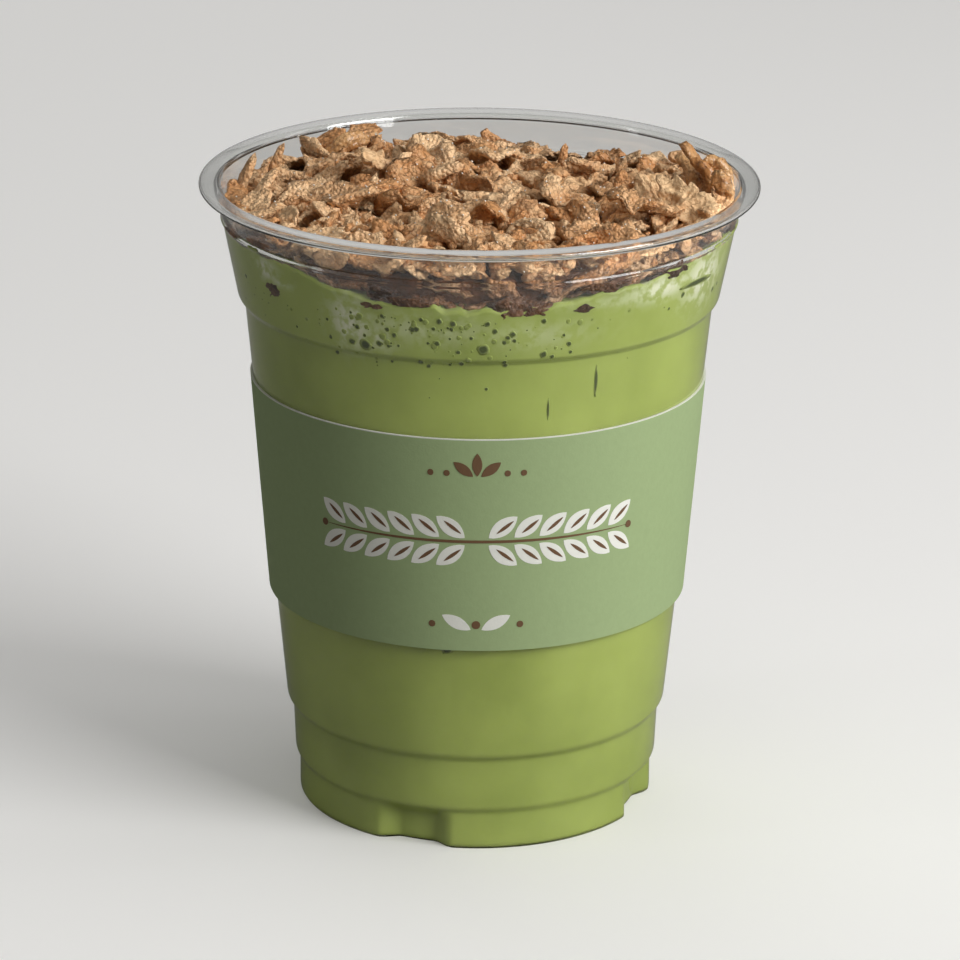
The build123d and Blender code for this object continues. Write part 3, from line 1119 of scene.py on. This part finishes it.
def makeHeap():
    core = makeCoreMesh()
    chance = Random(5)
    broad = [
        sheetShape(chance, chance.uniform(10, 14), chance.uniform(7, 10), chance.uniform(1.2, 1.7), crinkle=chance.uniform(1.8, 2.8), lumpy=0.95)
        for _ in range(flakes["broad"]["shapes"])
    ]
    small = [
        sheetShape(chance, chance.uniform(6, 9), chance.uniform(3.5, 5.5), chance.uniform(1.2, 1.8), 5, 20, 0.35, chance.uniform(1.2, 2.2), lumpy=1.1)
        for _ in range(flakes["small"]["shapes"])
    ]
    lumps = [lumpShape(chance, (chance.uniform(5, 7), chance.uniform(4, 6), chance.uniform(3.4, 5)), 4, 0.35, 0.35) for _ in range(clusters["shapes"])]
    oats = [lumpShape(chance, (chance.uniform(3, 4.6), chance.uniform(2, 3), chance.uniform(1.5, 2.2)), 3, 0.15, 0.35) for _ in range(nuggets["shapes"])]
    bits = [lumpShape(chance, (chance.uniform(1.2, 2), chance.uniform(0.9, 1.4), chance.uniform(0.6, 1.1)), 2, 0, 0.5) for _ in range(crumbs["shapes"])]
    grains = [lumpShape(chance, (0.42, 0.36, 0.34), 1, 0, 0.4) for _ in range(sugar["shapes"])]

    broadMesh = kindOf(flakes["broad"], "flakesBroad", core, broad, flakeSkin)
    smallMesh = kindOf(flakes["small"], "flakesSmall", core, small, flakeSkin)
    wallMesh = kindOf(flakes["wall"], "flakesAtWall", makeShelves(), broad, flakeSkin)
    clusterMesh = kindOf(clusters, "clusters", core, lumps, clusterSkin)
    nuggetMesh = kindOf(nuggets, "nuggets", core, oats, oatSkin)
    crumbMesh = kindOf(crumbs, "crumbs", core, bits, flakeSkin)
    sugared = broadMesh.copy()
    normals = np.zeros(len(sugared.vertices) * 3, np.float32)
    sugared.vertex_normals.foreach_get("vector", normals)
    setAttribute(sugared, "cover", [smooth((n - 0.3) * 3) for n in normals[2::3]])
    sugarMesh = kindOf(sugar, "sugarGrains", sugared, grains, sugarSkin)
    core.materials.append(coreShadeSkin)
    asPiece(core, "topping")
    for mesh in (broadMesh, smallMesh, wallMesh, clusterMesh, nuggetMesh, crumbMesh, sugarMesh):
        asPiece(mesh)


def makeSingles():
    chance = Random(8)
    wafers = [
        (sheetShape(chance, 6.6, 6, 1.2, 12, 64, 0.3, 1.2, 7, 0.17, 3.4, 0.4), 29.4, -8, 114.2, (50, -10, 25), 0.35),
        (sheetShape(chance, 12, 7, 1.2, 12, 64, 0.36, 1.8, 0, 0.14, 3, 0.4), 35.5, -16, 113.6, (38, 14, -32), 0.15),
        (sheetShape(chance, 9, 6, 1.2, 12, 64, 0.32, 1.4, 0, 0.15, 3, 0.4), -18, 4, 115.2, (30, 16, 60), 0.3),
    ]
    placed("wafers", wafers, waferSkin)
    curls = [
        (sheetShape(chance, 12, 4.2, 2.0, 8, 40, 0.3, 1.3, bend=7, lumpy=0.9), 42.5, 2, 113.2, (20, -70, 205), 0.3),
        (sheetShape(chance, 11, 3.8, 1.9, 8, 40, 0.3, 1.3, bend=6, lumpy=0.9), 39.5, 7, 113.4, (-15, -62, 160), 0.6),
        (sheetShape(chance, 12, 4.0, 1.9, 8, 40, 0.3, 1.3, bend=8, lumpy=0.9), 42.5, -5, 112.6, (10, -78, 235), 0.45),
        (sheetShape(chance, 10, 3.6, 1.8, 8, 40, 0.3, 1.3, bend=6, lumpy=0.9), 37.0, 2, 113.6, (30, -50, 120), 0.2),
        (sheetShape(chance, 10, 3.6, 1.8, 8, 40, 0.3, 1.3, bend=7, lumpy=0.9), 39.8, -1, 113.4, (0, -84, 190), 0.8),
        (sheetShape(chance, 10, 3.4, 1.7, 8, 40, 0.3, 1.2, bend=5, lumpy=0.9), -24, 26, 112.6, (50, -20, 20), 0.5),
    ]
    placed("honeyCurls", curls, honeySkin)
    splinters = [
        (sheetShape(chance, 4.6, 1.6, 1.2, 4, 16, 0.3, 0.4), 14.7, 9, 115.2, (0, -80, 20), 0.7),
        (sheetShape(chance, 9, 2.2, 1.3, 5, 20, 0.25, 0.6), -41, 2, 112.8, (10, -62, 15), 0.4),
        (sheetShape(chance, 9, 2.4, 1.3, 5, 20, 0.25, 0.6), -37.5, -6, 113.0, (0, -48, 40), 0.2),
        (sheetShape(chance, 8, 2.0, 1.2, 5, 20, 0.25, 0.6), -36, 7, 113.8, (0, -70, -20), 0.6),
        (sheetShape(chance, 7, 1.6, 1.1, 4, 16, 0.2, 0.5), 5, -20, 115.6, (0, -25, 50), 0.1),
    ]
    placed("splinters", splinters, flakeSkin)


wetFlakes = {"count": 18, "above": (-0.6, 1.6), "wide": (4, 11), "tall": (1.4, 3.0), "deep": (-0.5, 0.15)}  # in millimetres


def makeSunken():
    # Pieces that have slid down into the drink and lie against the wall.
    chance = Random(12)
    parts = []
    lying = []
    for i in range(wetFlakes["count"]):
        off = 360 * (i + chance.uniform(0.1, 0.9)) / wetFlakes["count"] - 180
        height = contactHeight(front + radians(off)) / mm + chance.uniform(*wetFlakes["above"])
        lying.append((off, height, chance.uniform(*wetFlakes["wide"]), chance.uniform(*wetFlakes["tall"])))
    for off, height, wide, tall in lying + [(-54, 100.6, 6.5, 4.2), (7, 102.2, 8, 4.4), (24, 102.0, 4, 1.6), (-24, 102.4, 5, 1.6), (118, 101.5, 6, 3)]:
        points, faces = lumpShape(chance, (2.4, wide, tall), 4, 0.35, 0.5)
        deep = chance.uniform(*wetFlakes["deep"]) * mm
        angle = front + radians(off)
        moved = []
        for point in points:
            z = height * mm + point.z
            r = min(sideRadius(z, tumbler["wall"]) - 0.5 * mm + point.x + deep, sideRadius(z, tumbler["wall"] - 0.26 * mm))
            a = angle + point.y / r
            moved.append((r * cos(a), r * sin(a), z))
        parts.append((moved, faces, [0.5 + 0.5 * chance.random()] * len(moved)))
    mesh = joined("sunkenPieces", parts)
    mesh.materials.append(sunkenSkin)
    asPiece(mesh)


makeHeap()
makeSingles()
makeSunken()
print("heap made")


# ---------- stage, light and camera

stage = {"size": 8, "lift": 0.14, "ambient": 0.06, "background": 0.84, "through": 0.64}
lamps = [  # name, place, aim, width and height, power in watts, seen in reflections
    ("keyLight", (1.0, -0.66, 0.62), (0, 0, 0.07), (0.8, 0.8), 17, True),
    ("topLight", (0.3, 0.0, 1.25), (0, 0, 0.1), (1.5, 1.5), 7, False),
    ("fillLight", (-1.15, -0.34, 0.42), (0, 0, 0.06), (0.12, 0.9), 0.8, True),
    ("sideLight", (1.2, 0.06, 0.42), (0, 0, 0.06), (0.2, 0.9), 1.0, True),
    ("backLight", (-0.35, 1.0, 0.6), (0, 0, 0.1), (0.8, 0.8), 1.8, False),
]
view = {"place": (0, -0.8034, 0.3324), "aim": (0.0005, 0, 0.0579), "roll": radians(0.485), "lens": 178.6}


def aimed(place, aim):
    turn = (Vector(aim) - Vector(place)).to_track_quat("-Z", "Y").to_matrix().to_4x4()
    return Matrix.Translation(place) @ turn


def makeStage():
    half = stage["size"] / 2
    corners = [(-half, -half, 0), (half, -half, 0), (half, half, 0), (-half, half, 0)]
    mesh = bpy.data.meshes.new("floor")
    mesh.from_pydata(corners, [], [[0, 1, 2, 3]])
    floorSkin, tree, shader = newMaterial("floorPaint", colors["floor"], 0.8)
    shader.inputs["Emission Color"].default_value = (1, 0.99, 0.97, 1)
    path = tree.nodes.new("ShaderNodeLightPath")
    seenThrough = mathNode(tree, "MULTIPLY", path.outputs["Is Transmission Ray"], 0.7)
    seen = mathNode(tree, "MAXIMUM", path.outputs["Is Camera Ray"], seenThrough)
    tree.links.new(ranged(tree, seen, 0.0, 1.0, 0.0, stage["lift"]), shader.inputs["Emission Strength"])
    tone = mixColor(tree, seen, (*colors["floorBounce"], 1), (*colors["floor"], 1))
    tree.links.new(tone, shader.inputs["Base Color"])
    mesh.materials.append(floorSkin)
    floor = bpy.data.objects.new("floor", mesh)
    bpy.context.scene.collection.objects.link(floor)
    world = bpy.data.worlds.new("studio")
    bpy.context.scene.world = world
    world.use_nodes = True
    tree = world.node_tree
    path = tree.nodes.new("ShaderNodeLightPath")
    back = tree.nodes["Background"]
    back.inputs["Color"].default_value = (1, 0.99, 0.97, 1)
    through = ranged(tree, path.outputs["Is Transmission Ray"], 0.0, 1.0, stage["ambient"], stage["through"])
    tree.links.new(ranged(tree, path.outputs["Is Camera Ray"], 0.0, 1.0, through, stage["background"]), back.inputs["Strength"])


def makeLights():
    for name, place, aim, size, power, seen in lamps:
        light = bpy.data.lights.new(name, "AREA")
        light.shape = "RECTANGLE"
        light.size, light.size_y = size
        light.energy = power
        lamp = bpy.data.objects.new(name, light)
        lamp.matrix_world = aimed(place, aim)
        lamp.visible_glossy = seen
        lamp.visible_transmission = seen
        bpy.context.scene.collection.objects.link(lamp)


def makeCamera():
    lens = bpy.data.cameras.new("camera")
    lens.lens = view["lens"]
    camera = bpy.data.objects.new("camera", lens)
    camera.matrix_world = aimed(view["place"], view["aim"]) @ Matrix.Rotation(view["roll"], 4, "Z")
    bpy.context.scene.collection.objects.link(camera)
    bpy.context.scene.camera = camera
    bpy.context.scene.view_settings.view_transform = "Standard"


makeStage()
makeLights()
makeCamera()
print("stage made")
